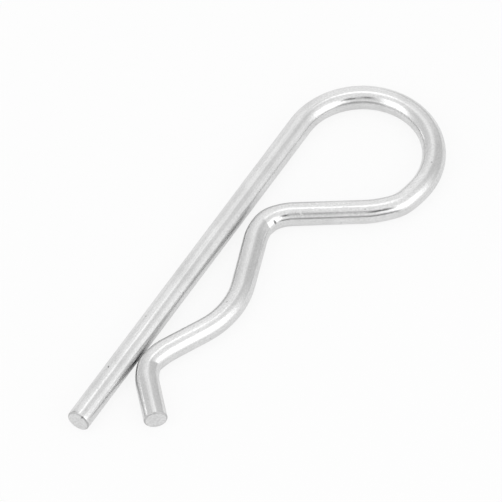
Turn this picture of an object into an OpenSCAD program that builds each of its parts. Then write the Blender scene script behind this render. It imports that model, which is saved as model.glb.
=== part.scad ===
// R-clip: a hitch pin clip bent from a single length of round spring wire. The straight leg
// goes through the cross hole of a shaft, and the kinked leg snaps round the shaft's outside.
//
// The wire lies flat in the XY plane. The origin is where the axis of the straight leg meets
// the axis of the shaft. +X runs along the leg towards the bow, and +Z along the shaft.

/* [Wire] */
// Diameter of the wire
wire_d = 4; // [3:0.1:5]
// Radius that the shear leaves on the rim of both cut ends
end_round = 0.3; // [0.1:0.05:1]
// Loss of diameter where the wire is stretched round a bend
bend_thinning = 0.05; // [0.04:0.01:0.2]

/* [Straight leg] */
// Distance from the axis of the shaft to the cut end of the straight leg
tip_distance = 33; // [25:0.5:60]

/* [Bow] */
// Distance along the leg from the axis of the shaft to the start of the bow
bow_distance = 38; // [34:0.5:60]
// Inside diameter of the finger bow
bow_inner_d = 20; // [16:0.5:30]

/* [Shaft seat] */
// Diameter of the shaft that just fills the seat before the legs spring apart
seat_d = 15.5; // [13:0.25:20]
// Inside radius of the bend that cups the shaft
recess_inner_r = 13; // [8:0.5:15]

/* [Neck, between the seat and the bow] */
// Distance along the leg from the axis of the shaft to the crest of the neck
neck_distance = 17; // [15:0.25:20]
// Gap between the neck and the straight leg
neck_gap = 1.4; // [0.5:0.1:3]

/* [Nip, between the seat and the flared end] */
// Distance along the leg from the axis of the shaft to the crest of the nip
nip_distance = 16.6; // [15:0.1:20]
// Gap between the nip and the straight leg
nip_gap = 0.2; // [0.1:0.05:1.5]

/* [Crest bends of the neck and the nip] */
// Inside radius at the crest, where the wire was folded over the tool's edge
crest_inner_r = 1.8; // [1:0.1:3]
// Inside radius of the gentler bend that eases into the crest and out of it
lead_inner_r = 7.2; // [5:0.1:9]
// Angle that each easing bend turns
lead_angle = 22; // [10:0.5:28]

/* [Flared end] */
// Angle between the flared end and the straight leg
flare_angle = 41.5; // [35:0.5:70]
// Length of the flared end past its bend
flare_length = 7.2; // [3:0.1:20]

/* [Hidden] */
$fn = 96;

// How far each bend runs on into the wire at its two ends
bend_lap = 0.1;

// Radii of the wire's centreline
wire_r = wire_d / 2;
bow_r = bow_inner_d / 2 + wire_r;
recess_r = recess_inner_r + wire_r;
crest_r = crest_inner_r + wire_r;
lead_r = lead_inner_r + wire_r;

// Centres of the bends. The bow and the recess turn right, and the crests turn left.
bow_centre = [bow_distance, -bow_r];
neck_centre = [neck_distance, -wire_d - neck_gap - crest_r];
recess_centre = [0, recess_r - wire_r - seat_d / 2];
nip_centre = [-nip_distance, -wire_d - nip_gap - crest_r];

// Distance from a crest's centre to the line of the straight wire on each side of it, and how
// much of that line its easing bend takes up
crest_reach = lead_r - (lead_r - crest_r) * cos(lead_angle);
crest_run_out = (lead_r - crest_r) * sin(lead_angle);

// A straight run of wire crosses over from the bend about one centre to the bend about the
// next, which turns the other way. Span is the sum of the two bends' reaches.
// Its slope is its angle to the straight leg, and turn is 1 where it leaves a left bend.
function slope(from, to, span, turn) =
    let (back = from - to) atan2(back.y, back.x) + turn * asin(span / norm(back));
function run(from, to, span) = sqrt(norm(to - from) ^ 2 - span ^ 2);

return_slope = slope(bow_centre, neck_centre, bow_r + crest_reach, -1);
neck_slope = slope(neck_centre, recess_centre, crest_reach + recess_r, 1);
nip_slope = slope(recess_centre, nip_centre, recess_r + crest_reach, -1);

return_run = run(bow_centre, neck_centre, bow_r + crest_reach) - crest_run_out;
neck_run = run(neck_centre, recess_centre, crest_reach + recess_r) - crest_run_out;
nip_run = run(recess_centre, nip_centre, recess_r + crest_reach) - crest_run_out;

// Each wire module draws its own length from the origin along +X, and sets its children at
// the end of that length, heading on along the wire.
module straight(length) {
    rotate([0, 90, 0]) cylinder(d = wire_d, h = length);
    translate([length, 0, 0]) children();
}

// A positive angle turns left. The section is thinner than the wire's, so that each end
// lies inside the wire that it runs on into.
module bend(angle, radius, thinning = bend_thinning) {
    lap_angle = bend_lap / radius * 180 / PI;
    first_angle = angle > 0 ? -90 : 90 + angle;
    centre = [0, sign(angle) * radius, 0];
    translate(centre) {
        rotate_extrude(angle = abs(angle) + 2 * lap_angle, start = first_angle - lap_angle)
            translate([radius, 0]) circle(d = wire_d - thinning);
        rotate([0, 0, angle]) translate(-centre) children();
    }
}

// A left bend whose middle is folded tight
module crest(angle)
    bend(lead_angle, lead_r)
    bend(angle - 2 * lead_angle, crest_r, 2 * bend_thinning)
    bend(lead_angle, lead_r)
    children();

// The last of the wire, cut off square, with its rim rounded
module cut_end() {
    flat_r = wire_r - end_round;
    rotate([0, 90, 0]) rotate_extrude() {
        square([flat_r, end_round]);
        translate([flat_r, 0]) intersection() {
            circle(r = end_round);
            square(end_round);
        }
    }
}

module r_clip() color("silver") translate([end_round - tip_distance, 0, 0]) {
    mirror([1, 0, 0]) cut_end();
    straight(tip_distance - end_round + bow_distance)
        bend(-180 + return_slope, bow_r)
        straight(return_run)
        crest(neck_slope - return_slope)
        straight(neck_run)
        bend(nip_slope - neck_slope, recess_r)
        straight(nip_run)
        crest(flare_angle - nip_slope)
        straight(flare_length - end_round)
        cut_end();
}

r_clip();
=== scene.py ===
"""Dresses a hitch R-clip: one length of bright zinc-plated spring wire, bent flat into an R.

The wire is made as a bender makes it. A ring of skin is fed and turned along the same straight
runs and bends as the solid, and each point of it also keeps its place on the straight wire. Die
lines, cloudy plating and handling marks follow the wire round its bends through that place.
"""

import logging
import math
from collections.abc import Iterator
from dataclasses import dataclass, field
from enum import Enum, IntEnum

import bmesh
import bpy
from mathutils import Matrix, Vector, noise


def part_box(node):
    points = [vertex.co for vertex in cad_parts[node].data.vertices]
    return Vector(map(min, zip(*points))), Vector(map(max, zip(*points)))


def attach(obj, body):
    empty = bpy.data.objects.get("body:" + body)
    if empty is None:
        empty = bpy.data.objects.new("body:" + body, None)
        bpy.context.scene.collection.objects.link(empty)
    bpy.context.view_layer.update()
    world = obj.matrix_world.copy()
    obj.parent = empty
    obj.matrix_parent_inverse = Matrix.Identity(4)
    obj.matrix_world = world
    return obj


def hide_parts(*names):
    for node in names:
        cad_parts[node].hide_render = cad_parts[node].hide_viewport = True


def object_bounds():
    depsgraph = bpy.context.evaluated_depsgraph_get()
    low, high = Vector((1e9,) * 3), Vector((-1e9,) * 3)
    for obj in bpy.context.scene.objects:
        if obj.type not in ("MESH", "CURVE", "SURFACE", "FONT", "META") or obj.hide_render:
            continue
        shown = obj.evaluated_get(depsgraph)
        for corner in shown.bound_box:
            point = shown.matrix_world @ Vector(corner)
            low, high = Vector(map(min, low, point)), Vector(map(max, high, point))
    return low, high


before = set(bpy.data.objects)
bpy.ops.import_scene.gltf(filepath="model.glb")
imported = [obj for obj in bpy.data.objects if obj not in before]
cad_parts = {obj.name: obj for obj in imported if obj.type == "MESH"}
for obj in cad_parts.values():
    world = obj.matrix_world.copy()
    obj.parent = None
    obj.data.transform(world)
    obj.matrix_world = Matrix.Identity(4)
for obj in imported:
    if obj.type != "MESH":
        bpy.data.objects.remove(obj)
cad_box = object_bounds()

log = logging.getLogger("r_clip")

MM = 0.001
MICRON = 0.001 * MM
AHEAD = Vector((1, 0, 0))
UP = Vector((0, 0, 1))
DRAWN = "drawn"

Tree = bpy.types.NodeTree
Socket = bpy.types.NodeSocket
Ring = list[bmesh.types.BMEdge]


def linear(hex_colour: str) -> tuple[float, float, float, float]:
    """Turns an sRGB colour into the linear one that the nodes use.

    Args:
        hex_colour: The colour as "#RRGGBB".

    Returns:
        Linear red, green and blue, and an alpha of 1.
    """
    parts = [int(hex_colour[start : start + 2], 16) / 255 for start in (1, 3, 5)]
    red, green, blue = (
        part / 12.92 if part <= 0.04045 else ((part + 0.055) / 1.055) ** 2.4 for part in parts
    )
    return red, green, blue, 1.0


def add_node(
    tree: Tree, kind: str, inputs: dict[str | int, object] | None = None, **settings: object
) -> bpy.types.Node:
    """Adds a node, sets its properties, and links or fills its inputs.

    Args:
        tree: The node tree that takes the node.
        kind: The node's type name.
        inputs: Sockets by name or number, each with an output to link or a value to set.
        **settings: Properties of the node itself.

    Returns:
        The new node.
    """
    node = tree.nodes.new(kind)
    for name, value in settings.items():
        setattr(node, name, value)
    for name, value in (inputs or {}).items():
        if isinstance(value, Socket):
            tree.links.new(value, node.inputs[name])
        else:
            node.inputs[name].default_value = value
    return node


def empty_material(name: str) -> bpy.types.Material:
    """Makes a material with an empty node tree.

    Args:
        name: Its name.

    Returns:
        The material.
    """
    material = bpy.data.materials.new(name)
    material.use_nodes = True
    material.node_tree.nodes.clear()
    return material


def tinted(tree: Tree, base: str, *coats: tuple[Socket, str]) -> Socket:
    """Adds nodes that lay coats of colour over a base colour.

    Args:
        tree: The node tree.
        base: The base colour as "#RRGGBB".
        *coats: How much each coat covers, from 0 to 1, and its colour.

    Returns:
        The colour with all its coats.
    """
    colour = linear(base)
    for cover, coat in coats:
        colour = add_node(
            tree, "ShaderNodeMix", {0: cover, 6: colour, 7: linear(coat)}, data_type="RGBA"
        ).outputs[2]
    return colour


def finish_metal(tree: Tree, colour: Socket, roughness: float | Socket, height: Socket) -> None:
    """Adds the shader of a metal surface, and the material's output.

    Args:
        tree: The node tree.
        colour: The metal's colour.
        roughness: Its roughness.
        height: How far its surface stands out, in microns.
    """
    bump = add_node(tree, "ShaderNodeBump", {"Height": height, "Distance": MICRON})
    normal = bump.outputs["Normal"]
    shader = add_node(
        tree,
        "ShaderNodeBsdfPrincipled",
        {"Base Color": colour, "Metallic": 1.0, "Roughness": roughness, "Normal": normal},
    )
    add_node(tree, "ShaderNodeOutputMaterial", {"Surface": shader.outputs["BSDF"]})


def link_mesh(name: str, mesh: bmesh.types.BMesh) -> bpy.types.Object:
    """Puts a finished mesh into the scene as an object at the origin.

    Args:
        name: The object's name.
        mesh: The mesh, which isn't kept apart from it.

    Returns:
        The object.
    """
    data = bpy.data.meshes.new(name)
    mesh.to_mesh(data)
    mesh.free()
    piece = bpy.data.objects.new(name, data)
    bpy.context.scene.collection.objects.link(piece)
    return piece


class Turn(Enum):
    """The way that a bend turns, seen from above."""

    LEFT = 1
    RIGHT = -1


class Slot(IntEnum):
    """The clip's material slots."""

    SKIN = 0
    CUT = 1


@dataclass(frozen=True)
class Feed:
    """A straight run of wire.

    Attributes:
        length: Its length.
    """

    length: float


@dataclass(frozen=True)
class Arc:
    """An arc of wire.

    Attributes:
        turn: The way that it turns.
        angle: The angle that it turns, in radians.
        radius: Radius of the wire's centreline.
    """

    turn: Turn
    angle: float
    radius: float

    @property
    def length(self) -> float:
        """Length of wire in the arc."""
        return self.angle * self.radius


@dataclass(frozen=True)
class Bend:
    """Arcs of wire that follow on from each other.

    Attributes:
        arcs: The arcs, in order.
        step: Longest step of the mesh along them.
    """

    arcs: tuple[Arc, ...]
    step: float


@dataclass(frozen=True)
class Swerve:
    """A place where a bend isn't quite true and the wire stands out to its left.

    Attributes:
        along: Its middle, along the straight wire.
        height: How far the wire stands out there.
        spread: Length of wire over which that falls to a third.
    """

    along: float
    height: float
    spread: float

    def drift(self, fed: float) -> float:
        """How far the wire stands out where the given length of straight wire has been fed."""
        return self.height * math.exp(-(((fed - self.along) / self.spread) ** 2))


@dataclass(frozen=True)
class OpenEnd:
    """A ring that the sweep leaves open.

    Attributes:
        ring: The edges of the ring.
        place: Its place, with +X along the wire.
        fed: Length of straight wire before it.
        outward: 1 where the wire ends here, and -1 where it starts.
    """

    ring: Ring
    place: Matrix
    fed: float
    outward: int


@dataclass
class WireBender:
    """Sweeps a ring of skin along the wire, as a bender feeds the wire and turns it.

    Attributes:
        wire_r: Radius of the wire.
        start: Where the first ring's centre is. The wire first heads along +X.
        fed: Length of straight wire up to the last ring.
        thinning: How much of its radius the wire loses where a bend stretches it.
        swerves: Where the wire strays from the program.
        ease: Length of bent wire over which it thins.
        around: Number of vertices round the wire.
        feed_step: Longest step along a straight run.
        radius: Radius of the wire at the last ring.
        mesh: The skin so far.
        drawn: Each vertex's place on the straight wire.
        place: Where the last ring would be without swerves, with +X along the wire.
        ring: The edges of the last ring.
        first: The end that the wire starts from.
    """

    wire_r: float
    start: Vector
    fed: float
    thinning: float
    swerves: tuple[Swerve, ...]
    ease: float = 2.5 * MM
    around: int = 96
    feed_step: float = 2.0 * MM
    radius: float = field(init=False)
    mesh: bmesh.types.BMesh = field(init=False)
    drawn: bmesh.types.BMLayerItem = field(init=False)
    place: Matrix = field(init=False)
    ring: Ring = field(init=False)
    first: OpenEnd = field(init=False)

    def __post_init__(self) -> None:
        """Makes the first ring, square to the wire."""
        self.radius = self.wire_r
        self.mesh = bmesh.new()
        self.drawn = self.mesh.verts.layers.float_vector.new(DRAWN)
        self.place = Matrix.Translation(self.start)
        square_on = self.place @ Matrix.Rotation(math.pi / 2, 4, "Y")
        circle = bmesh.ops.create_circle(
            self.mesh, segments=self.around, radius=self.wire_r, matrix=square_on
        )
        for vert in circle["verts"]:
            vert[self.drawn] = vert.co - self.start + AHEAD * self.fed
        self.ring = list(self.mesh.edges)
        self.first = OpenEnd(self.ring, self.place, self.fed, outward=-1)

    @property
    def last(self) -> OpenEnd:
        """The end that the wire has got to."""
        return OpenEnd(self.ring, self.place, self.fed, outward=1)

    def extrude(
        self, ring: Ring, move: Matrix, slot: Slot = Slot.SKIN
    ) -> tuple[Ring, list[bmesh.types.BMVert]]:
        """Extrudes a ring of edges and moves the new ring.

        Args:
            ring: The edges to extrude.
            move: The new ring's transform.
            slot: Material slot of the new faces.

        Returns:
            The edges and the vertices of the new ring.
        """
        swept = bmesh.ops.extrude_edge_only(self.mesh, edges=ring)["geom"]
        verts = [item for item in swept if isinstance(item, bmesh.types.BMVert)]
        edges = [item for item in swept if isinstance(item, bmesh.types.BMEdge)]
        bmesh.ops.transform(self.mesh, matrix=move, verts=verts)
        for item in swept:
            if isinstance(item, bmesh.types.BMFace):
                item.material_index = slot
        new = set(verts)
        return [edge for edge in edges if new.issuperset(edge.verts)], verts

    @property
    def skin(self) -> Matrix:
        """Takes a ring of radius 1 about +X to where the last ring is.

        Returns:
            The transform.
        """
        drift = sum(swerve.drift(self.fed) for swerve in self.swerves)
        size = Matrix.Diagonal((1, self.radius, self.radius, 1))
        return self.place @ Matrix.Translation((0, drift, 0)) @ size

    def sweep(self, move: Matrix, advance: float, radius: float) -> None:
        """Moves the wire on by one step.

        Args:
            move: Takes the last ring's place to the next one's.
            advance: Length of wire that the step uses up.
            radius: Radius of the wire at the next ring.
        """
        before = self.skin
        self.place = move @ self.place
        self.radius = radius
        self.fed += advance
        self.ring, verts = self.extrude(self.ring, self.skin @ before.inverted())
        for vert in verts:
            vert[self.drawn].x += advance

    def feed(self, run: Feed) -> None:
        """Feeds the wire straight on.

        Args:
            run: The straight run.
        """
        steps = math.ceil(run.length / self.feed_step)
        move = Matrix.Translation(self.place.to_3x3() @ AHEAD * run.length / steps)
        for _ in range(steps):
            self.sweep(move, run.length / steps, self.wire_r)

    def bend(self, bend: Bend) -> None:
        """Turns the wire round a bend, and thins it between the bend's two ends.

        Args:
            bend: The bend.
        """
        whole = sum(arc.length for arc in bend.arcs)
        bent = 0.0
        for arc in bend.arcs:
            steps = math.ceil(arc.length / bend.step)
            sense = arc.turn.value
            centre = Matrix.Translation(self.place @ Vector((0, sense * arc.radius, 0)))
            spin = Matrix.Rotation(sense * arc.angle / steps, 4, UP)
            for _ in range(steps):
                bent += arc.length / steps
                share = min(1.0, bent / self.ease, max(0.0, whole - bent) / self.ease)
                smooth = share * share * (3 - 2 * share)
                radius = self.wire_r - self.thinning * smooth
                self.sweep(centre @ spin @ centre.inverted(), arc.length / steps, radius)


@dataclass(frozen=True)
class Crease:
    """A crease on the inside of a tight left bend, where it was folded over the tool's nose.

    Attributes:
        along: Where it crosses the middle of the wire, along the straight wire.
        lean: How far along the wire it goes for each step across it.
        depth: Its depth.
        flank: Length of wire over which it fades out on either side.
        swell: Height of the metal that the fold squeezes up before it.
        swell_back: Distance from the crease back to the crest of the swell.
        swell_length: Length of wire over which the swell falls to a third.
    """

    along: float
    lean: float
    depth: float
    flank: float
    swell: float
    swell_back: float
    swell_length: float

    def rise(self, drawn: Vector) -> float:
        """Finds how far the crease and its swell move the skin out.

        Args:
            drawn: A place on the straight wire.

        Returns:
            How far the skin stands out there.
        """
        inside = max(0.0, Vector((drawn.y, drawn.z)).normalized().x)
        past = drawn.x - self.along - self.lean * drawn.y
        groove = self.depth * math.exp(-abs(past) / self.flank)
        swollen = self.swell * math.exp(-(((past + self.swell_back) / self.swell_length) ** 2))
        return inside * (swollen - groove)


@dataclass(frozen=True)
class CutEnd:
    """The end of a wire that a shear has cut through.

    The blade draws the rim in on the side where it enters, and leaves the rest of the face with
    the torn grain of a shear.

    Attributes:
        rounding: Radius of the rim.
        roll: How far the blade draws the rim in.
        roll_side: Where the blade enters, as an angle round the wire from its left side.
        seed: Moves the unevenness of this cut about.
    """

    rounding: float
    roll: float
    roll_side: float
    seed: float

    # Length of skin before the rim, over which the blade starts to draw it in
    COLLAR = 0.8 * MM
    COLLAR_STEPS = 8
    RIM_STEPS = 6
    FACE_RINGS = 9
    # Unevenness of the rim
    WAVE = 0.05 * MM
    WAVE_LENGTH = 1.0 * MM
    # Torn grain of the face
    TEAR = 0.03 * MM
    TEAR_LENGTH = 0.7 * MM

    def profile(self, wire_r: float) -> Iterator[tuple[float, float, Slot]]:
        """Steps from the skin over the rim to the middle of the face.

        Args:
            wire_r: Radius of the wire.

        Yields:
            How far out each ring lies, its radius, and the material slot of the faces up to it.
        """
        for number in range(1, self.COLLAR_STEPS + 1):
            yield self.COLLAR * number / self.COLLAR_STEPS, wire_r, Slot.SKIN
        for number in range(1, self.RIM_STEPS + 1):
            angle = number / self.RIM_STEPS * math.pi / 2
            drop = self.rounding * (1 - math.cos(angle))
            yield self.COLLAR + self.rounding * math.sin(angle), wire_r - drop, Slot.CUT
        flat_r = wire_r - self.rounding
        for number in range(1, self.FACE_RINGS + 1):
            share = 1 - number / (self.FACE_RINGS + 1)
            yield self.COLLAR + self.rounding, flat_r * share, Slot.CUT

    def close(self, bender: WireBender, end: OpenEnd) -> None:
        """Closes an open end with a rounded rim and a cut face.

        Args:
            bender: The bender that holds the skin.
            end: The end to close.
        """
        mesh = bender.mesh
        ring = end.ring
        before = end.place
        cut = []
        for reach, radius, slot in self.profile(bender.wire_r):
            size = radius / bender.wire_r
            outline = Matrix.Diagonal((1, size, size, 1))
            after = end.place @ Matrix.Translation(AHEAD * end.outward * reach) @ outline
            ring, verts = bender.extrude(ring, after @ before.inverted(), slot)
            before = after
            cut += verts
        middle = bmesh.ops.contextual_create(mesh, geom=ring)["faces"]
        middle[0].material_index = Slot.CUT
        cut += bmesh.ops.poke(mesh, faces=middle)["verts"]
        for vert in cut:
            local = end.place.inverted() @ vert.co
            vert[bender.drawn] = local + AHEAD * end.fed
            vert.co = end.place @ self.torn(local, bender.wire_r, end.outward)

    def torn(self, local: Vector, wire_r: float, outward: int) -> Vector:
        """Draws a point of the cut in from where a clean cut would leave it.

        Args:
            local: The point, from the middle of the open ring.
            wire_r: Radius of the wire.
            outward: 1 or -1, as the end's own.

        Returns:
            The point as the shear leaves it.
        """
        side = Vector((0, math.cos(self.roll_side), math.sin(self.roll_side)))
        radial = Vector((0, local.y, local.z))
        reach = max(0.0, abs(local.x) - self.COLLAR) / self.rounding
        approach = abs(local.x) / (self.COLLAR + self.rounding)
        rim = min(1.0, radial.length / (wire_r - self.rounding))
        entry = max(0.0, radial.normalized().dot(side)) * rim**4
        shift = Vector((self.seed, 0, 0))
        wave = 0.5 + 0.5 * noise.noise(local / self.WAVE_LENGTH + shift)
        tear = 0.5 + 0.5 * noise.noise(local / self.TEAR_LENGTH - shift)
        inward = reach * rim**4 * self.WAVE * wave + approach**3 * entry * self.roll
        back = reach * (self.TEAR * tear + entry * self.roll)
        return local - radial.normalized() * inward - AHEAD * outward * back


@dataclass(frozen=True)
class SurfaceMark:
    """A pit, nick or scratch in the skin of the wire.

    Attributes:
        along: Its place along the straight wire.
        side: Its place round the wire in degrees, from the left side over the top.
        length: Its length.
        width: Its width.
        slant: The angle of its length to the wire, in degrees.
        depth: Its share of the deepest mark's depth. Below 0 it stands proud.
    """

    along: float
    side: float
    length: float
    width: float
    slant: float
    depth: float

    # How deep into the wire the mark is looked for
    THICKNESS = 1 * MM
    # Share of its size within which it has its full depth
    CORE = 0.3

    def mask(self, tree: Tree, drawn: Socket, wire_r: float) -> Socket:
        """Adds the nodes that find the mark.

        Args:
            tree: The node tree of the wire's material.
            drawn: The place on the straight wire.
            wire_r: Radius of the wire.

        Returns:
            A value that falls from the mark's depth in its middle to 0 at its edge.
        """
        side = math.radians(self.side)
        turned = Matrix.Rotation(side, 3, "X") @ Matrix.Rotation(math.radians(self.slant), 3, "Y")
        place = add_node(
            tree,
            "ShaderNodeMapping",
            {
                "Vector": drawn,
                "Location": (self.along, wire_r * math.cos(side), wire_r * math.sin(side)),
                "Rotation": turned.to_euler(),
                "Scale": (self.length / 2, self.THICKNESS, self.width / 2),
            },
            vector_type="TEXTURE",
        )
        away = add_node(
            tree, "ShaderNodeVectorMath", {0: place.outputs["Vector"]}, operation="LENGTH"
        )
        fall = add_node(
            tree,
            "ShaderNodeMapRange",
            {"Value": away.outputs["Value"], "From Min": self.CORE, "To Min": self.depth, "To Max": 0},
            interpolation_type="SMOOTHSTEP",
        )
        return fall.outputs["Result"]


@dataclass(frozen=True)
class BrightZincWire:
    """Cold-drawn spring steel wire, bright zinc plated and clear passivated.

    The eye gets a neutral silver that mirrors the room softly. Die lines run along the wire, the
    plating is mottled with a fine pale and dark grain and pitted here and there, and the drawn
    skin wavers a little, which unsettles the edges of what it mirrors.

    A share says how much of the mottling a pattern makes, but pit_share is the share of places
    that have a pit, and pit_depth is a share of the deepest mark's depth.
    """

    wire_r: float
    marks: tuple[SurfaceMark, ...]
    bright: str = "#EBEBEB"
    dull: str = "#D0D0D0"
    pitted: str = "#6C6C6C"
    # Roughness where the plating is bright, and where it is dull
    smooth: float = 0.16
    rough: float = 0.26
    # How much mottling leaves the plating wholly bright, and how much makes it wholly dull
    mottle_range: tuple[float, float] = (0.35, 0.65)
    cloud_size: float = 4 * MM
    cloud_share: float = 0.25
    # Real die lines are a few hundredths of a millimetre apart, too fine to show, so these are
    # drawn as coarse as they need
    line_spacing: float = 0.25 * MM
    line_length: float = 12 * MM
    line_share: float = 0.25
    line_depth: float = 3 * MICRON
    waver_size: float = 1.3 * MM
    waver_length: float = 4 * MM
    waver_depth: float = 14 * MICRON
    # The plating's real grain is a tenth of this size or less, so it too is drawn coarser
    grain_size: float = 0.25 * MM
    grain_share: float = 0.5
    grain_depth: float = 4 * MICRON
    pit_spacing: float = 0.9 * MM
    pit_share: float = 0.35
    pit_size: float = 0.16 * MM
    pit_depth: float = 0.4
    mark_depth: float = 60 * MICRON

    def build(self) -> bpy.types.Material:
        """Builds the material's nodes.

        Returns:
            The material.
        """
        material = empty_material("bright_zinc_plated_drawn_wire")
        tree = material.node_tree
        drawn = add_node(tree, "ShaderNodeAttribute", attribute_name=DRAWN).outputs["Vector"]
        clouds = self.pattern(tree, drawn, self.cloud_size, self.cloud_size)
        lines = self.pattern(tree, drawn, self.line_length, self.line_spacing)
        waver = self.pattern(tree, drawn, self.waver_length, self.waver_size)
        grain = self.pattern(tree, drawn, self.grain_size, self.grain_size)
        dents = self.pits(tree, drawn)
        for mark in self.marks:
            found = mark.mask(tree, drawn, self.wire_r)
            dents = add_node(tree, "ShaderNodeMath", {0: dents, 1: found}).outputs["Value"]

        height = self.blend(
            tree,
            (lines, self.line_depth / MICRON),
            (waver, self.waver_depth / MICRON),
            (grain, self.grain_depth / MICRON),
            (dents, -self.mark_depth / MICRON),
        )
        mottle = self.blend(
            tree, (lines, self.line_share), (clouds, self.cloud_share), (grain, self.grain_share)
        )
        least, most = self.mottle_range
        dullness = add_node(
            tree, "ShaderNodeMapRange", {"Value": mottle, "From Min": least, "From Max": most}
        ).outputs["Result"]
        roughness = add_node(
            tree,
            "ShaderNodeMapRange",
            {"Value": dullness, "To Min": self.smooth, "To Max": self.rough},
        )
        colour = tinted(tree, self.bright, (dullness, self.dull), (dents, self.pitted))
        finish_metal(tree, colour, roughness.outputs["Result"], height)
        return material

    def pits(self, tree: Tree, drawn: Socket) -> Socket:
        """Adds small pits, in which only some cells of the pattern have one.

        Args:
            tree: The node tree.
            drawn: The place on the straight wire.

        Returns:
            A value that rises in the middle of each pit.
        """
        cells = add_node(
            tree, "ShaderNodeTexVoronoi", {"Vector": drawn, "Scale": 1 / self.pit_spacing}
        )
        widest = self.pit_size / self.pit_spacing
        size = add_node(
            tree,
            "ShaderNodeMapRange",
            {"Value": cells.outputs["Color"], "From Min": 1 - self.pit_share, "To Max": widest},
        )
        inside = add_node(
            tree,
            "ShaderNodeMath",
            {0: size.outputs["Result"], 1: cells.outputs["Distance"]},
            operation="SUBTRACT",
        )
        pit = add_node(
            tree,
            "ShaderNodeMapRange",
            {"Value": inside.outputs["Value"], "From Max": widest / 2, "To Max": self.pit_depth},
        )
        return pit.outputs["Result"]

    @staticmethod
    def blend(tree: Tree, *layers: tuple[Socket, float]) -> Socket:
        """Adds up patterns.

        Args:
            tree: The node tree.
            *layers: Each pattern, and what it is multiplied by.

        Returns:
            The sum.
        """
        total = 0.0
        for pattern, share in layers:
            total = add_node(
                tree, "ShaderNodeMath", {0: pattern, 1: share, 2: total}, operation="MULTIPLY_ADD"
            ).outputs["Value"]
        return total

    @staticmethod
    def pattern(tree: Tree, drawn: Socket, length: float, width: float) -> Socket:
        """Adds a cloudy pattern that is stretched along the wire.

        Args:
            tree: The node tree.
            drawn: The place on the straight wire.
            length: Length of its cells along the wire.
            width: Their width round it.

        Returns:
            A value from 0 to 1.
        """
        stretched = add_node(
            tree, "ShaderNodeMapping", {"Vector": drawn, "Scale": (1 / length, 1 / width, 1 / width)}
        )
        cells = add_node(
            tree,
            "ShaderNodeTexNoise",
            {"Vector": stretched.outputs["Vector"], "Scale": 1.0, "Detail": 2.0},
        )
        return cells.outputs["Fac"]


@dataclass(frozen=True)
class ShearedSteel:
    """The cut face of the wire, zinc plated over the torn grain that the shear leaves.

    The eye gets a pale grey, duller than the skin and faintly grained, inside a darker and
    ragged lip. That lip is painted shade, which stands in for the dark floor and room that the
    sharp rim mirrors.
    """

    wire_r: float
    nicks: tuple[SurfaceMark, ...]
    raised: str = "#EAEAEA"
    hollow: str = "#D2D2D2"
    # Painted shade: this darker grey on the lip stands in for the dark room that the sharp rim mirrors
    lip_shade: str = "#C0C0C0"
    nicked: str = "#4C4C4C"
    roughness: float = 0.45
    grain_size: float = 0.35 * MM
    grain_depth: float = 16 * MICRON
    # Heights of the grain at which it starts to be raised, and wholly is
    grain_range: tuple[float, float] = (0.3, 0.7)
    lip_shade_width: float = 0.2 * MM
    # Widths of the lip's painted shade from the rim at which it starts, and is full
    lip_shade_edges: tuple[float, float] = (1.4, 0.6)
    # Length of the rim's ragged stretches, the unevenness at which the lip's painted shade is
    # weakest and whole, and the share of it that is left where it is weakest
    ragged: float = 0.8 * MM
    ragged_range: tuple[float, float] = (0.3, 0.5)
    ragged_share: float = 0.4

    def build(self) -> bpy.types.Material:
        """Builds the material's nodes.

        Returns:
            The material.
        """
        material = empty_material("zinc_plated_sheared_steel")
        tree = material.node_tree
        drawn = add_node(tree, "ShaderNodeAttribute", attribute_name=DRAWN).outputs["Vector"]
        grain = add_node(
            tree,
            "ShaderNodeTexNoise",
            {"Vector": drawn, "Scale": 1 / self.grain_size, "Detail": 3.0},
        ).outputs["Fac"]
        height = add_node(
            tree, "ShaderNodeMath", {0: grain, 1: self.grain_depth / MICRON}, operation="MULTIPLY"
        )
        low, high = self.grain_range
        raised = add_node(
            tree, "ShaderNodeMapRange", {"Value": grain, "From Min": low, "From Max": high}
        )
        colour = tinted(
            tree,
            self.hollow,
            (raised.outputs["Result"], self.raised),
            # The lip's painted shade, darker towards the rim
            (self.lip_shade_mask(tree, drawn), self.lip_shade),
            *((nick.mask(tree, drawn, self.wire_r), self.nicked) for nick in self.nicks),
        )
        finish_metal(tree, colour, self.roughness, height.outputs["Value"])
        return material

    def lip_shade_mask(self, tree: Tree, drawn: Socket) -> Socket:
        """Adds nodes that find the lip, which is painted shade round the rim.

        Args:
            tree: The node tree.
            drawn: The place on the straight wire.

        Returns:
            A value that rises towards the rim, unevenly round it.
        """
        across = add_node(
            tree, "ShaderNodeVectorMath", {0: drawn, 1: (0, 1, 1)}, operation="MULTIPLY"
        )
        radial = add_node(
            tree, "ShaderNodeVectorMath", {0: across.outputs["Vector"]}, operation="LENGTH"
        )
        start, full = (self.wire_r - edge * self.lip_shade_width for edge in self.lip_shade_edges)
        rim = add_node(
            tree,
            "ShaderNodeMapRange",
            {"Value": radial.outputs["Value"], "From Min": start, "From Max": full},
            interpolation_type="SMOOTHSTEP",
        )
        uneven = add_node(
            tree, "ShaderNodeTexNoise", {"Vector": drawn, "Scale": 1 / self.ragged, "Detail": 2.0}
        )
        weak, strong = self.ragged_range
        share = add_node(
            tree,
            "ShaderNodeMapRange",
            {
                "Value": uneven.outputs["Fac"],
                "From Min": weak,
                "From Max": strong,
                "To Min": self.ragged_share,
            },
        )
        lip_shade = add_node(
            tree,
            "ShaderNodeMath",
            {0: rim.outputs["Result"], 1: share.outputs["Result"]},
            operation="MULTIPLY",
        )
        return lip_shade.outputs["Value"]


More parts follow.
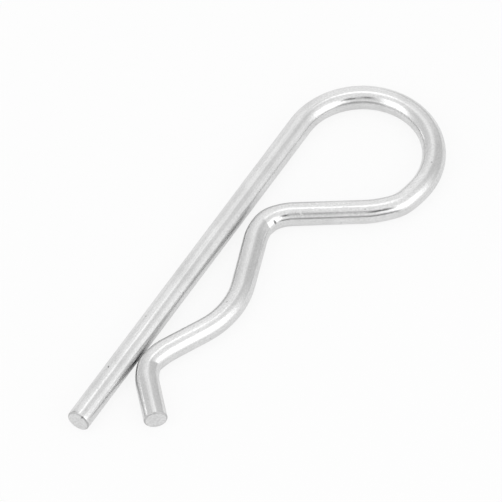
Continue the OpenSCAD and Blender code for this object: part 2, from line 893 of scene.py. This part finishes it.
@dataclass(frozen=True)
class Station:
    """A bend, as the straight runs on either side of it meet it.

    Attributes:
        centre: The bend's centre.
        reach: How far from the centre the lines of those runs pass.
    """

    centre: Vector
    reach: float

    def slope_to(self, other: "Station", turn: Turn) -> float:
        """Finds the slope of the run that leaves this bend for the next one.

        Args:
            other: The next bend, which turns the other way.
            turn: The way that this one turns.

        Returns:
            The run's angle to the straight leg.
        """
        back = self.centre - other.centre
        span = self.reach + other.reach
        return math.atan2(back.y, back.x) + turn.value * math.asin(span / back.length)

    def run_to(self, other: "Station") -> float:
        """Length of the line that touches both reaches and crosses over between them."""
        span = self.reach + other.reach
        return math.sqrt((self.centre - other.centre).length_squared - span**2)


@dataclass
class RClip:
    """The clip, in the frame of the solid.

    The wire lies flat in the XY plane. The origin is where the axis of the straight leg meets
    the axis of the shaft, and +X runs along the leg towards the bow. The wire's radius and the
    reach of its tip come from the solid, and the rest are the solid's own driving sizes.
    """

    wire_r: float
    tip_distance: float
    end_round: float = 0.3 * MM
    bow_distance: float = 38 * MM
    bow_inner_r: float = 10 * MM
    seat_r: float = 7.75 * MM
    recess_inner_r: float = 13 * MM
    neck_distance: float = 17 * MM
    neck_gap: float = 1.4 * MM
    nip_distance: float = 16.6 * MM
    nip_gap: float = 0.2 * MM
    crest_inner_r: float = 1.8 * MM
    lead_inner_r: float = 7.2 * MM
    lead_angle: float = math.radians(22)
    flare_angle: float = math.radians(41.5)
    flare_length: float = 7.2 * MM
    # How much of its radius the wire loses round a bend
    thinning: float = 0.025 * MM
    # Longest steps of the mesh along a bend, and along one with a fold
    bend_step: float = 0.3 * MM
    fold_step: float = 0.12 * MM

    @classmethod
    def from_frame(cls, node: str) -> "RClip":
        """Reads the wire's radius and the reach of its tip from a CAD node's box."""
        low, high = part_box(node)
        return cls(wire_r=(high.z - low.z) / 2, tip_distance=-low.x)

    @property
    def end_reach(self) -> float:
        """Length of wire that a cut end adds."""
        return self.end_round + CutEnd.COLLAR

    @property
    def crest_r(self) -> float:
        """Radius of a crest's fold, at the centreline."""
        return self.crest_inner_r + self.wire_r

    @property
    def lead_r(self) -> float:
        """Radius of the easing bend on either side of a crest, at the centreline."""
        return self.lead_inner_r + self.wire_r

    def crest_station(self, distance: float, gap: float) -> Station:
        """Places a crest.

        Args:
            distance: Distance along the leg from the axis of the shaft.
            gap: Gap between the crest and the leg.

        Returns:
            The crest's station.
        """
        centre = Vector((distance, -2 * self.wire_r - gap - self.crest_r))
        spread = self.lead_r - self.crest_r
        return Station(centre, self.lead_r - spread * math.cos(self.lead_angle))

    def crest(self, angle: float) -> Bend:
        """Makes a left bend whose middle is folded tight.

        Args:
            angle: The whole angle that it turns, in radians.

        Returns:
            The bend.
        """
        lead = Arc(Turn.LEFT, self.lead_angle, self.lead_r)
        fold = Arc(Turn.LEFT, angle - 2 * self.lead_angle, self.crest_r)
        return Bend((lead, fold, lead), self.fold_step)

    def round_bend(self, angle: float, radius: float) -> Bend:
        """A right bend of one radius."""
        return Bend((Arc(Turn.RIGHT, angle, radius),), self.bend_step)

    def program(self) -> list[Feed | Bend]:
        """Works out what the bender does.

        Returns:
            The runs and bends, from the straight leg's rim to the flared end's.
        """
        bow_r = self.bow_inner_r + self.wire_r
        recess_r = self.recess_inner_r + self.wire_r
        bow = Station(Vector((self.bow_distance, -bow_r)), bow_r)
        neck = self.crest_station(self.neck_distance, self.neck_gap)
        recess = Station(Vector((0, recess_r - self.wire_r - self.seat_r)), recess_r)
        nip = self.crest_station(-self.nip_distance, self.nip_gap)

        return_slope = bow.slope_to(neck, Turn.RIGHT)
        neck_slope = neck.slope_to(recess, Turn.LEFT)
        nip_slope = recess.slope_to(nip, Turn.RIGHT)
        run_out = (self.lead_r - self.crest_r) * math.sin(self.lead_angle)
        return [
            Feed(self.tip_distance - self.end_reach + self.bow_distance),
            self.round_bend(math.pi - return_slope, bow_r),
            Feed(bow.run_to(neck) - run_out),
            self.crest(neck_slope - return_slope),
            Feed(neck.run_to(recess) - run_out),
            self.round_bend(neck_slope - nip_slope, recess_r),
            Feed(recess.run_to(nip) - run_out),
            self.crest(self.flare_angle - nip_slope),
            Feed(self.flare_length - self.end_reach),
        ]

    def swerves(self) -> tuple[Swerve, ...]:
        """Where the bow tightens, just before it runs out into the straight run."""
        return (Swerve(along=114.6 * MM, height=0.28 * MM, spread=2.3 * MM),)

    def creases(self) -> tuple[Crease, ...]:
        """Lists the creases.

        Returns:
            The creases on the inside of the neck and of the nip.
        """
        # Along, lean, depth, flank, swell, swell_back and swell_length
        return (
            Crease(138.1 * MM, 0.45, 0.18 * MM, 0.7 * MM, 0.17 * MM, 1.1 * MM, 1.9 * MM),
            Crease(174.9 * MM, -0.50, 0.12 * MM, 0.7 * MM, 0.08 * MM, 2.5 * MM, 2.0 * MM),
        )

    def marks(self) -> tuple[SurfaceMark, ...]:
        """Lists what handling has left in the plating.

        Returns:
            The pits, nicks and scratches, from the straight leg's tip on.
        """
        # Along, side, length, width, slant and depth, with the lengths in millimetres
        rows = (
            (0.3, 62, 0.45, 1.40, 10, 0.45),
            (11.0, 68, 0.60, 0.35, 25, 1.0),
            (12.5, 78, 0.30, 0.25, 0, 0.3),
            (15.1, 143, 0.35, 0.25, 0, 0.3),
            (23.0, 65, 0.45, 0.30, 30, 0.6),
            (24.0, 62, 0.30, 0.25, 0, 0.3),
            (30.4, 132, 0.35, 0.30, 0, 0.3),
            (30.7, 150, 0.65, 0.40, 20, 0.8),
            (72.9, 180, 0.40, 0.30, 0, 0.3),
            (75.6, 154, 0.35, 0.25, 20, 0.3),
            (78.2, 172, 0.40, 0.30, 0, 0.3),
            (101.9, 88, 0.35, 0.30, 0, 0.3),
            (105.5, 87, 0.40, 0.40, 0, 0.6),
            (110.0, 63, 0.30, 0.30, 0, 0.4),
            (111.9, 99, 0.35, 0.25, 0, 0.25),
            (116.7, 93, 0.35, 0.25, 0, 0.25),
            (124.6, -7, 0.40, 0.30, 0, 0.5),
            (126.8, 40, 0.15, 0.50, 0, 0.35),
            (131.0, 53, 0.18, 0.80, 15, 0.35),
            (131.3, 54, 0.20, 0.80, 15, -0.3),
            (136.7, 34, 0.80, 1.20, 10, 0.9),
            (140.3, 137, 0.40, 0.30, 0, 0.5),
            (156.7, 105, 0.40, 0.30, 40, 0.5),
            (162.7, 0, 0.40, 0.30, 0, 0.35),
            (164.2, 66, 0.40, 0.25, 0, 0.3),
        )
        return tuple(
            SurfaceMark(along * MM, side, length * MM, width * MM, slant, depth)
            for along, side, length, width, slant, depth in rows
        )

    def nicks(self) -> tuple[SurfaceMark, ...]:
        """The nicks in the rims of the cut ends."""
        return (SurfaceMark(0.1 * MM, 118, 0.45 * MM, 0.55 * MM, 0, 0.65),)

    def build(self) -> bpy.types.Object:
        """Bends the wire, cuts its ends and dresses it.

        Returns:
            The finished clip.
        """
        tip = Vector((self.end_reach - self.tip_distance, 0, 0))
        bender = WireBender(self.wire_r, tip, self.end_reach, self.thinning, self.swerves())
        for part in self.program():
            if isinstance(part, Feed):
                bender.feed(part)
            else:
                bender.bend(part)
        tip_cut = CutEnd(self.end_round, roll=0.15 * MM, roll_side=math.radians(70), seed=3.7)
        tip_cut.close(bender, bender.first)
        flare_cut = CutEnd(self.end_round, roll=0.05 * MM, roll_side=math.radians(190), seed=9.2)
        flare_cut.close(bender, bender.last)
        bmesh.ops.recalc_face_normals(bender.mesh, faces=bender.mesh.faces)
        for crease in self.creases():
            for vert in bender.mesh.verts:
                vert.co += vert.normal * crease.rise(vert[bender.drawn])
        for face in bender.mesh.faces:
            face.smooth = True
        clip = link_mesh("spring_wire_clip", bender.mesh)
        clip.data.materials.append(BrightZincWire(self.wire_r, self.marks()).build())
        clip.data.materials.append(ShearedSteel(self.wire_r, self.nicks()).build())
        log.info("%s: %d faces, %.1f mm of wire", clip.name, len(clip.data.polygons), bender.fed / MM)
        return clip


@dataclass(frozen=True)
class Panel:
    """A flat panel that stands or hangs in the studio and faces the clip.

    Attributes:
        name: What it is.
        azimuth: Its bearing from the clip in degrees, 0 under the camera and 90 to its right.
        reach: Its level distance from the clip.
        height: Height of its middle above the clip.
        lean: How far it faces down in degrees, 0 upright and 90 flat overhead.
        turn: How far it is turned in its own plane in degrees.
        width: Its level size.
        length: Its other size.
        feather: Shares of its width and its length over which it fades out towards its edges.
    """

    name: str
    azimuth: float
    reach: float
    height: float
    lean: float
    turn: float
    width: float
    length: float
    feather: tuple[float, float]

    def place(self, front: float) -> Matrix:
        """Where the panel is, facing along its own -Z.

        Args:
            front: The bearing of azimuth 0, as an angle from +X in radians.

        Returns:
            Its transform.
        """
        bearing = Matrix.Rotation(front + math.radians(self.azimuth), 4, UP)
        out = Matrix.Translation((self.reach, 0, self.height))
        face_in = Matrix.Rotation(math.radians(90 - self.lean), 4, "Y")
        turned = Matrix.Rotation(math.pi / 2 + math.radians(self.turn), 4, UP)
        return bearing @ out @ face_in @ turned

    def fade(self, tree: Tree) -> Socket:
        """Adds nodes that fade the panel out towards its edges.

        Args:
            tree: The node tree.

        Returns:
            A value of 1 in the middle of the panel and 0 at its edges.
        """
        across = add_node(tree, "ShaderNodeTexCoord")
        spread = add_node(tree, "ShaderNodeSeparateXYZ", {0: across.outputs["UV"]})
        shares = []
        for axis, feather in zip("XY", self.feather):
            from_edge = add_node(
                tree, "ShaderNodeMath", {0: spread.outputs[axis], 1: 0.5}, operation="PINGPONG"
            )
            faded = add_node(
                tree,
                "ShaderNodeMapRange",
                {"Value": from_edge.outputs["Value"], "From Max": feather / 2},
                interpolation_type="SMOOTHSTEP",
            )
            shares.append(faded.outputs["Result"])
        both = add_node(tree, "ShaderNodeMath", {0: shares[0], 1: shares[1]}, operation="MULTIPLY")
        return both.outputs["Value"]


@dataclass(frozen=True)
class SoftBox(Panel):
    """A lamp behind a diffuser that is brightest in its middle.

    Attributes:
        radiance: What it adds there to the white room behind it, where plain white is 1.
    """

    radiance: float = 1.0

    def build(self, front: float) -> None:
        """Adds the lamp.

        Args:
            front: The bearing of azimuth 0, as an angle from +X in radians.
        """
        lamp = bpy.data.lights.new(self.name, "AREA")
        lamp.shape = "RECTANGLE"
        lamp.size = self.width
        lamp.size_y = self.length
        lamp.energy = self.radiance * math.pi * self.width * self.length
        lamp.use_nodes = True
        tree = lamp.node_tree
        tree.nodes.clear()
        light = add_node(tree, "ShaderNodeEmission", {"Strength": self.fade(tree)})
        add_node(tree, "ShaderNodeOutputLight", {"Surface": light.outputs["Emission"]})
        holder = bpy.data.objects.new(self.name, lamp)
        holder.matrix_world = self.place(front)
        bpy.context.scene.collection.objects.link(holder)
        log.info("%s: %.2f by %.2f m", self.name, self.width, self.length)


@dataclass(frozen=True)
class Card(Panel):
    """A card that only shows in the metal, where it keeps the mirrored room from being white.

    Attributes:
        tone: Its colour.
    """

    tone: str = "#000000"

    def build(self, front: float) -> None:
        """Adds the card.

        Args:
            front: The bearing of azimuth 0, as an angle from +X in radians.
        """
        mesh = bmesh.new()
        mesh.loops.layers.uv.new("across")
        sized = self.place(front) @ Matrix.Diagonal((self.width, self.length, 1, 1))
        bmesh.ops.create_grid(
            mesh, x_segments=1, y_segments=1, size=0.5, matrix=sized, calc_uvs=True
        )
        card = link_mesh(self.name, mesh)
        material = empty_material(self.name)
        tree = material.node_tree
        shown = add_node(tree, "ShaderNodeEmission", {"Color": linear(self.tone)})
        clear = add_node(tree, "ShaderNodeBsdfTransparent")
        mixed = add_node(
            tree,
            "ShaderNodeMixShader",
            {0: self.fade(tree), 1: clear.outputs["BSDF"], 2: shown.outputs["Emission"]},
        )
        add_node(tree, "ShaderNodeOutputMaterial", {"Surface": mixed.outputs["Shader"]})
        card.data.materials.append(material)
        card.visible_camera = False
        card.visible_diffuse = False
        card.visible_shadow = False
        log.info("%s: %.2f by %.2f m", self.name, self.width, self.length)


@dataclass
class Camera:
    """A long lens that looks down on the clip.

    Attributes:
        azimuth: Bearing in degrees, 0 looking along +Y.
        elevation: Degrees above the floor.
        roll: Degrees by which the camera leans to its left.
        distance: Distance to the point it aims at.
        target: That point.
        lens: Focal length in millimetres.
    """

    azimuth: float = -57.288
    elevation: float = 52.881
    roll: float = -1.987
    distance: float = 2.4
    target: Vector = field(default_factory=lambda: Vector((11.446, -6.446, 0)) * MM)
    lens: float = 1038.9

    @property
    def back(self) -> Vector:
        """The direction from the clip to the camera.

        Returns:
            A vector of length 1.
        """
        azimuth, elevation = math.radians(self.azimuth), math.radians(self.elevation)
        level = math.cos(elevation)
        return Vector((math.sin(azimuth) * level, -math.cos(azimuth) * level, math.sin(elevation)))

    @property
    def bearing(self) -> float:
        """The camera's bearing from the clip, as an angle from +X in radians."""
        return math.atan2(self.back.y, self.back.x)

    def build(self) -> None:
        """Adds the camera and makes it the scene's own."""
        data = bpy.data.cameras.new("camera")
        data.lens = self.lens
        data.clip_end = 10.0
        camera = bpy.data.objects.new("camera", data)
        aimed = (-self.back).to_track_quat("-Z", "Y").to_matrix().to_4x4()
        rolled = Matrix.Rotation(math.radians(self.roll), 4, "Z")
        stand = Matrix.Translation(self.target + self.back * self.distance)
        camera.matrix_world = stand @ aimed @ rolled
        bpy.context.scene.collection.objects.link(camera)
        bpy.context.scene.camera = camera


@dataclass
class Studio:
    """A plain white table with lamps and cards round it and over it.

    Attributes:
        camera: The camera.
        floor_height: Height of the table top.
        ambient: Strength of the room's own light.
        floor_size: Width of the table.
        floor_white: Its paint.
        seen_white: How much of the table is plain white to the eye, and the rest paint.
        mirrored_white: The same where the metal mirrors it.
        gap_reach: Height over the table within which the wires hide the room.
        gap_sky: Shares of the room left in sight at which that white starts and is full.
    """

    camera: Camera
    floor_height: float
    ambient: float = 0.79
    floor_size: float = 6.0
    floor_white: str = "#F9F9F9"
    seen_white: float = 0.86
    mirrored_white: float = 0.50
    gap_reach: float = 6 * MM
    gap_sky: tuple[float, float] = (0.03, 0.4)

    def panels(self) -> list[SoftBox | Card]:
        """Lists what stands and hangs round the table.

        Returns:
            The lamps, and the cards that give the metal something darker to mirror.
        """
        # Name, azimuth, reach, height, lean, turn, width, length and feather
        return [
            SoftBox("soft_box_left", -58, 0.45, 0.50, 0, 4, 0.42, 0.81, (0.13, 0.1), radiance=0.72),
            SoftBox("soft_box_right", 57, 0.45, 0.32, 0, -12, 0.74, 0.94, (0.75, 0.8), radiance=0.68),
            SoftBox("soft_box_top", 170, 0.137, 0.335, 75, 10, 0.155, 0.15, (0.6, 0.6), radiance=0.59),
            Card("camera_body", -8, 0.30, 0.43, 55, 0, 0.095, 0.17, (0.25, 0.3), tone="#000000"),
            Card("lamp_stand", 25, 0.34, 0.365, 47, 0, 0.19, 0.155, (0.55, 0.25), tone="#000000"),
            Card("grey_card_left", -119, 0.50, 0.453, 0, -8, 1.03, 0.965, (1.0, 0.24), tone="#E0E0E0"),
            Card("grey_card_right", 128, 0.50, 0.32, 0, -19, 0.82, 1.60, (0.9, 0.6), tone="#D8D8D8"),
            Card("skirting", 148, 0.47, -0.02, 0, 0, 0.40, 0.26, (0.4, 0.5), tone="#CECECE"),
            Card("table_edge", 2, 0.44, 0.007, 0, 0, 0.70, 0.38, (0.1, 0.85), tone="#949494"),
            Card("stand_foot", 26, 0.43, 0.0, 0, 0, 0.24, 0.14, (0.25, 0.6), tone="#202020"),
            SoftBox("back_window", -172, 0.345, 0.335, 45, 0, 0.22, 0.20, (0.9, 0.9), radiance=0.10),
            SoftBox("low_window", -115, 0.45, 0.05, 0, 0, 0.14, 0.05, (0.4, 0.4), radiance=1.0),
            Card("front_wall", -19, 0.62, 0.83, 0, 18, 0.95, 1.38, (0.6, 0.8), tone="#DFDFDF"),
        ]

    def world(self) -> None:
        """Makes the room white to the eye and in reflections, and lights the clip softly."""
        world = bpy.data.worlds.new("white_room")
        world.use_nodes = True
        tree = world.node_tree
        tree.nodes.clear()
        strength = self.by_ray(tree, seen=1.0, mirrored=1.0, other=self.ambient)
        light = add_node(
            tree, "ShaderNodeBackground", {"Color": linear("#FFFFFF"), "Strength": strength}
        )
        add_node(tree, "ShaderNodeOutputWorld", {"Surface": light.outputs["Background"]})
        bpy.context.scene.world = world

    @staticmethod
    def by_ray(tree: Tree, seen: float, mirrored: float | Socket, other: float) -> Socket:
        """Adds nodes that give a value by the kind of light path.

        Args:
            tree: The node tree.
            seen: The value where the camera sees it.
            mirrored: The value where metal mirrors it or glass shows it.
            other: The value elsewhere.

        Returns:
            The value.
        """
        path = add_node(tree, "ShaderNodeLightPath").outputs
        value = other
        for kind, special in (
            ("Is Transmission Ray", mirrored),
            ("Is Glossy Ray", mirrored),
            ("Is Camera Ray", seen),
        ):
            value = add_node(tree, "ShaderNodeMix", {0: path[kind], 2: value, 3: special}).outputs[0]
        return value

    def open_white(self, tree: Tree) -> Socket:
        """Adds nodes that keep the gaps between the wires dark where the metal mirrors them.

        Args:
            tree: The node tree of the table top.

        Returns:
            The white that the metal mirrors, which falls to 0 where the wires hide the room.
        """
        sky = add_node(tree, "ShaderNodeAmbientOcclusion", {"Distance": self.gap_reach}, samples=16)
        darkest, lightest = self.gap_sky
        white = add_node(
            tree,
            "ShaderNodeMapRange",
            {
                "Value": sky.outputs["AO"],
                "From Min": darkest,
                "From Max": lightest,
                "To Max": self.mirrored_white,
            },
        )
        return white.outputs["Result"]

    def floor(self) -> None:
        """Adds the table top, which keeps the clip's shadow."""
        mesh = bmesh.new()
        top = Matrix.Translation(UP * self.floor_height)
        bmesh.ops.create_circle(
            mesh, cap_ends=True, segments=96, radius=self.floor_size / 2, matrix=top
        )
        floor = link_mesh("table_top", mesh)
        material = empty_material("matt_white_table")
        tree = material.node_tree
        share = self.by_ray(tree, seen=self.seen_white, mirrored=self.open_white(tree), other=0.0)
        paper = add_node(tree, "ShaderNodeBsdfDiffuse", {"Color": linear(self.floor_white)})
        white = add_node(tree, "ShaderNodeEmission", {"Color": linear("#FFFFFF")})
        mixed = add_node(
            tree,
            "ShaderNodeMixShader",
            {0: share, 1: paper.outputs["BSDF"], 2: white.outputs["Emission"]},
        )
        add_node(tree, "ShaderNodeOutputMaterial", {"Surface": mixed.outputs["Shader"]})
        floor.data.materials.append(material)
        log.info("%s: %.1f m across", floor.name, self.floor_size)

    def build(self) -> None:
        """Adds the table, the room, the panels and the camera."""
        self.floor()
        self.world()
        for panel in self.panels():
            panel.build(self.camera.bearing)
        self.camera.build()


def main() -> None:
    """Builds the clip and its studio."""
    logging.basicConfig(level=logging.INFO, format="%(message)s")
    bpy.context.scene.view_settings.view_transform = "Standard"
    clip = RClip.from_frame("r_clip").build()
    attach(clip, "root")
    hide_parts("r_clip")
    Studio(Camera(), floor_height=cad_box[0].z).build()


if __name__ == "__main__":
    main()
